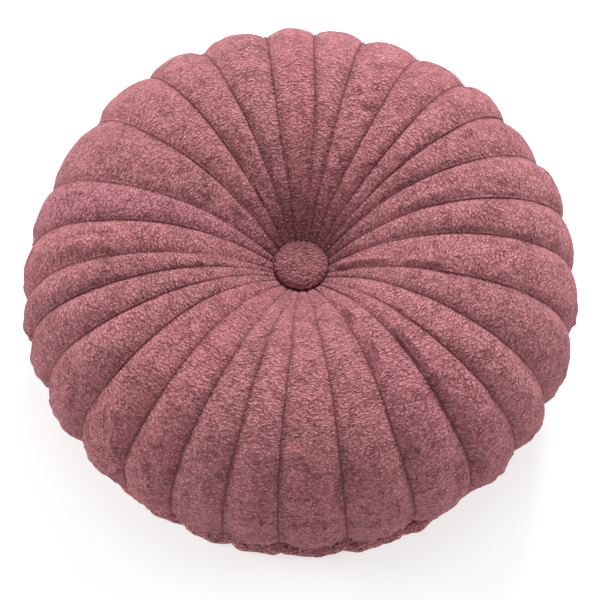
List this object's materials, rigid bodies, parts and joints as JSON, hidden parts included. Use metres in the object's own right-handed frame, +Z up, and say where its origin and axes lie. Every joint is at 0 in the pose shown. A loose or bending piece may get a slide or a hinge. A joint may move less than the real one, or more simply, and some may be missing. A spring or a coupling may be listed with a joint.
{
  "type": "round throw pillow",
  "caption": "Round floor and sofa pillow with stuffed plush channels running from a sunken covered button down to a puckered base lip.",
  "frame": {"origin": "centre of the flat underside, on the button's axis", "axes": "+Z up along the button's axis, out of the crown; -Y is the front, the side nearest the camera"},
  "size_m": [0.3995, 0.3986, 0.153],
  "materials": {
    "plush_cover": "short-pile fleece, dusty rose",
    "button_cloth": "the same fleece stretched over a button, darker rose",
    "base_cloth": "flat fleece with a gathered lip, darker rose"
  },
  "bodies": {
    "root": {"base_panel": "base_cloth", "cushion_body": "plush_cover", "centre_button": "button_cloth"}
  },
  "joints": []
}
